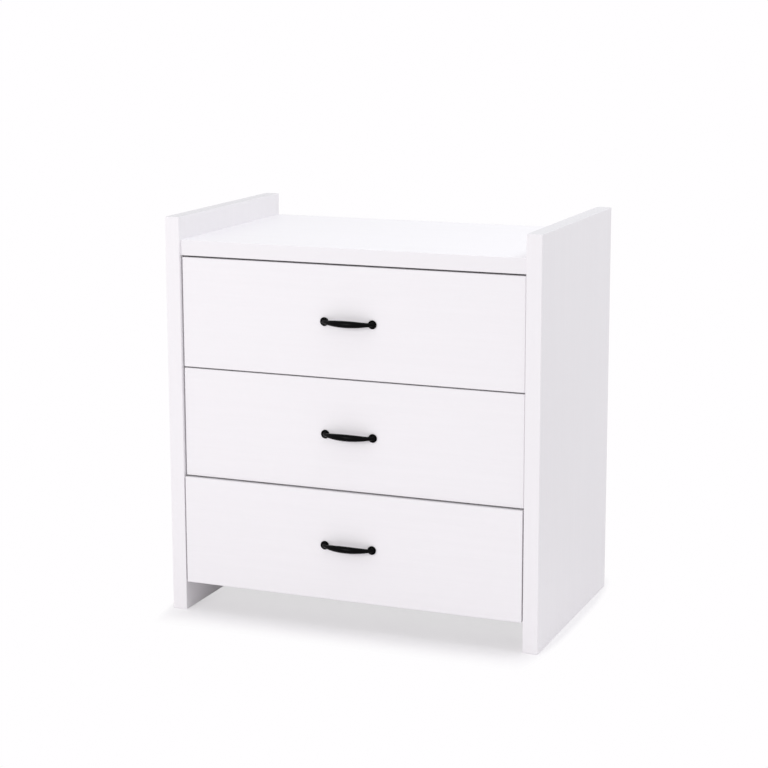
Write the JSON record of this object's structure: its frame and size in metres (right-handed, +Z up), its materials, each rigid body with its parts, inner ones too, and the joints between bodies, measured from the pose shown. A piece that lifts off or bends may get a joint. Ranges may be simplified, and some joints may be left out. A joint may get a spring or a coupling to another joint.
{
  "type": "changing dresser",
  "caption": "Changing dresser with thick raised side panels around a low top, flush drawers with black bow handles on roller runners, and an open floor gap.",
  "frame": {"origin": "on the floor, at the middle of the whole object's width and depth, handles included", "axes": "+Z up, +Y from the drawer fronts to the back, +X to the right of a person in front"},
  "size_m": [0.92, 0.5787, 0.95],
  "materials": {
    "white_foil_board": "white satin foil with a faint grain",
    "black_handle": "black satin powder coat",
    "white_steel": "white epoxy coat",
    "nylon": "white nylon",
    "zinc_cams": "cast zinc",
    "zinc_bolts": "zinc plated",
    "beech": "plain beech"
  },
  "bodies": {
    "carcase": {"side_panel_left": "white_foil_board", "side_panel_right": "white_foil_board", "top_board": "white_foil_board", "upper_rear_rail": "white_foil_board", "lower_rear_rail": "white_foil_board", "front_rail": "white_foil_board", "back_panel": "white_foil_board", "cam_housings": "zinc_cams", "cam_bolts": "zinc_bolts", "wood_dowels": "beech", "cabinet_runners_1": "white_steel", "cabinet_runners_2": "white_steel", "cabinet_runners_3": "white_steel"},
    "drawer_1": {"drawer_front_1": "white_foil_board", "drawer_side_left_1": "white_foil_board", "drawer_side_right_1": "white_foil_board", "drawer_back_1": "white_foil_board", "drawer_bottom_1": "white_foil_board", "handle_1": "black_handle", "handle_screws_1": "zinc_bolts", "drawer_cams_1": "zinc_cams", "drawer_cam_bolts_1": "zinc_bolts", "drawer_runners_1": "white_steel"},
    "cabinet_rollers_1": {"cabinet_rollers_1": "nylon"},
    "drawer_rollers_1": {"drawer_rollers_1": "nylon"},
    "drawer_2": {"drawer_front_2": "white_foil_board", "drawer_side_left_2": "white_foil_board", "drawer_side_right_2": "white_foil_board", "drawer_back_2": "white_foil_board", "drawer_bottom_2": "white_foil_board", "handle_2": "black_handle", "handle_screws_2": "zinc_bolts", "drawer_cams_2": "zinc_cams", "drawer_cam_bolts_2": "zinc_bolts", "drawer_runners_2": "white_steel"},
    "cabinet_rollers_2": {"cabinet_rollers_2": "nylon"},
    "drawer_rollers_2": {"drawer_rollers_2": "nylon"},
    "drawer_3": {"drawer_front_3": "white_foil_board", "drawer_side_left_3": "white_foil_board", "drawer_side_right_3": "white_foil_board", "drawer_back_3": "white_foil_board", "drawer_bottom_3": "white_foil_board", "handle_3": "black_handle", "handle_screws_3": "zinc_bolts", "drawer_cams_3": "zinc_cams", "drawer_cam_bolts_3": "zinc_bolts", "drawer_runners_3": "white_steel"},
    "cabinet_rollers_3": {"cabinet_rollers_3": "nylon"},
    "drawer_rollers_3": {"drawer_rollers_3": "nylon"}
  },
  "joints": [
    {"name": "drawer_slide_1", "type": "slide", "parent": "carcase", "child": "drawer_1", "axis": [0, -1, 0], "range_m": [0, 0.34]},
    {"name": "cabinet_rollers_spin_1", "type": "hinge", "parent": "carcase", "child": "cabinet_rollers_1", "pos_m": [0, -0.2165, 0.6297], "axis": [1, 0, 0], "range_deg": [-2, 1950]},
    {"name": "drawer_rollers_spin_1", "type": "hinge", "parent": "drawer_1", "child": "drawer_rollers_1", "pos_m": [0, 0.208, 0.6263], "axis": [1, 0, 0], "range_deg": [-2, 1950]},
    {"name": "drawer_slide_2", "type": "slide", "parent": "carcase", "child": "drawer_2", "axis": [0, -1, 0], "range_m": [0, 0.34]},
    {"name": "cabinet_rollers_spin_2", "type": "hinge", "parent": "carcase", "child": "cabinet_rollers_2", "pos_m": [0, -0.2165, 0.3667], "axis": [1, 0, 0], "range_deg": [-2, 1950]},
    {"name": "drawer_rollers_spin_2", "type": "hinge", "parent": "drawer_2", "child": "drawer_rollers_2", "pos_m": [0, 0.208, 0.3633], "axis": [1, 0, 0], "range_deg": [-2, 1950]},
    {"name": "drawer_slide_3", "type": "slide", "parent": "carcase", "child": "drawer_3", "axis": [0, -1, 0], "range_m": [-0.008, 0.332]},
    {"name": "cabinet_rollers_spin_3", "type": "hinge", "parent": "carcase", "child": "cabinet_rollers_3", "pos_m": [0, -0.2165, 0.1037], "axis": [1, 0, 0], "range_deg": [-48, 1905]},
    {"name": "drawer_rollers_spin_3", "type": "hinge", "parent": "drawer_3", "child": "drawer_rollers_3", "pos_m": [0, 0.2, 0.1003], "axis": [1, 0, 0], "range_deg": [-48, 1905]}
  ],
  "couplings": [
    {"joint": "cabinet_rollers_spin_1", "follows": "drawer_slide_1", "rad_per_m": 100},
    {"joint": "drawer_rollers_spin_1", "follows": "drawer_slide_1", "rad_per_m": 100},
    {"joint": "cabinet_rollers_spin_2", "follows": "drawer_slide_2", "rad_per_m": 100},
    {"joint": "drawer_rollers_spin_2", "follows": "drawer_slide_2", "rad_per_m": 100},
    {"joint": "cabinet_rollers_spin_3", "follows": "drawer_slide_3", "rad_per_m": 100},
    {"joint": "drawer_rollers_spin_3", "follows": "drawer_slide_3", "rad_per_m": 100}
  ]
}
